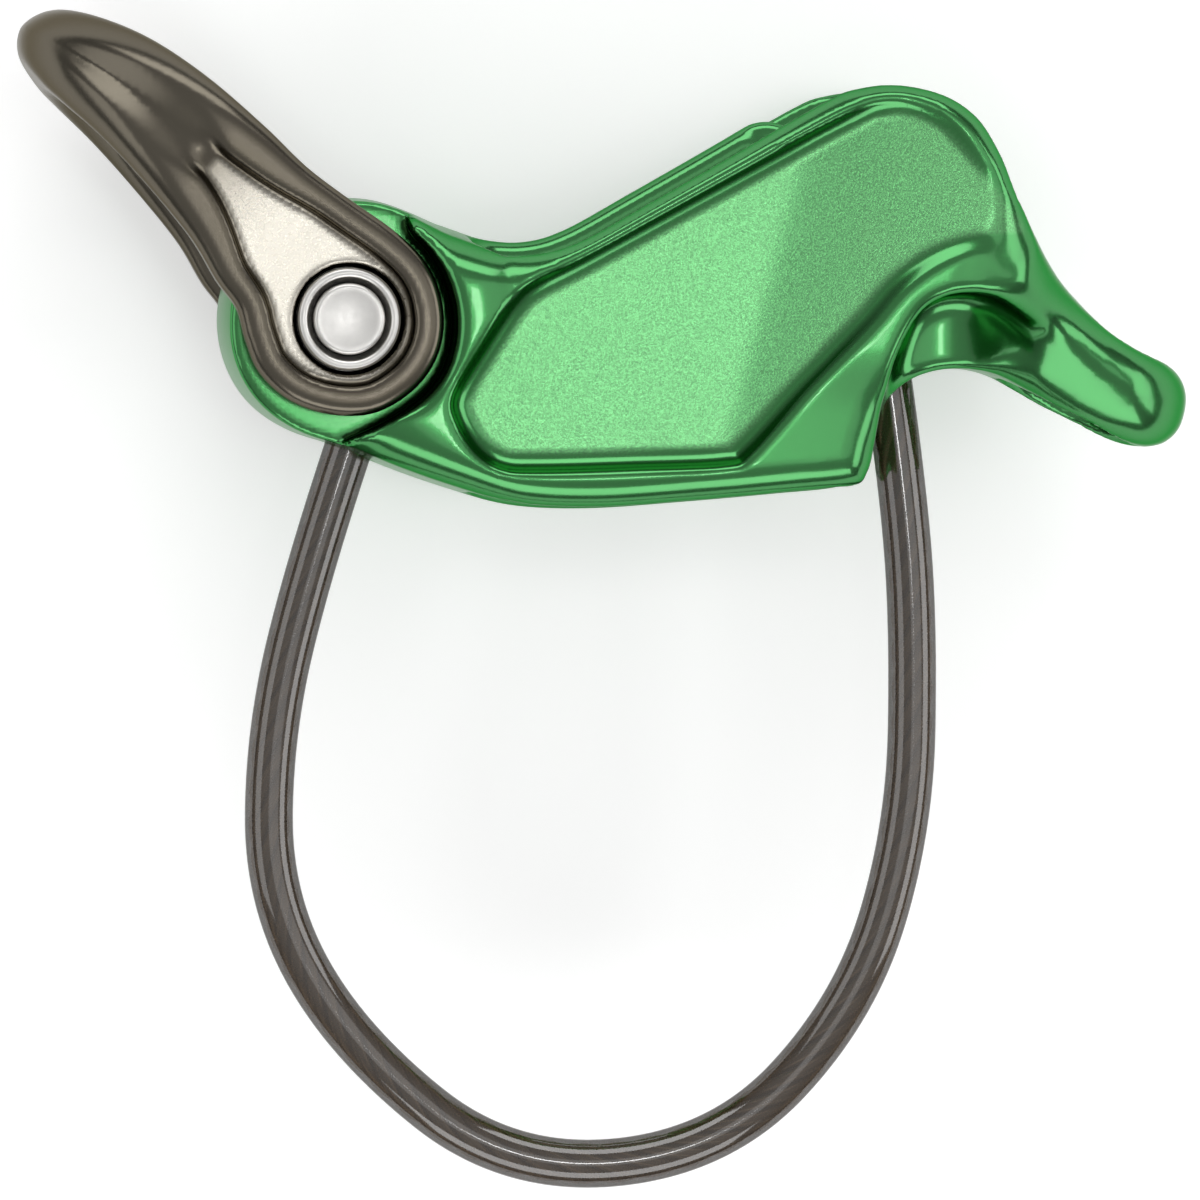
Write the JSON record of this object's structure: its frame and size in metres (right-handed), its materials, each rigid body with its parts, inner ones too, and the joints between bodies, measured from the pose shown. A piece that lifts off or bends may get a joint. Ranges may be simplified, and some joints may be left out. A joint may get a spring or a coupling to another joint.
{
  "type": "belay device",
  "caption": "Two-slot tube belay device, forged body with release eye, U-shaped link turning on a rivet, and a coated wire keeper loop.",
  "frame": {"origin": "middle of the device's outline, keeper cable left out, on the face it lies on", "axes": "+Z square to the cheeks, up from the cheek it lies on; +X along the body towards the nose; +Y towards the side where the rope enters the slots"},
  "size_m": [0.0974, 0.0976, 0.034],
  "materials": {
    "green_anodised": "gloss anodised",
    "gunmetal_anodised": "gloss anodised",
    "bright_steel": "polished",
    "smoke_sheath": "translucent gloss",
    "wire_rope": "drawn wire"
  },
  "bodies": {
    "chassis": {"body": "green_anodised", "thrust_washer_near": "bright_steel", "thrust_washer_far": "bright_steel", "keeper_sheath": "smoke_sheath", "keeper_wire": "wire_rope", "keeper_ferrule_rear": "wire_rope", "keeper_ferrule_front": "wire_rope"},
    "link": {"pivot_link": "gunmetal_anodised", "pivot_axle": "bright_steel", "axle_collar_near": "bright_steel", "axle_collar_far": "bright_steel"}
  },
  "joints": [
    {"name": "link_pivot", "type": "hinge", "parent": "chassis", "child": "link", "pos_m": [-0.02183, -0.00509, 0.017], "axis": [0, 0, 1], "range_deg": [-25, 90]}
  ]
}
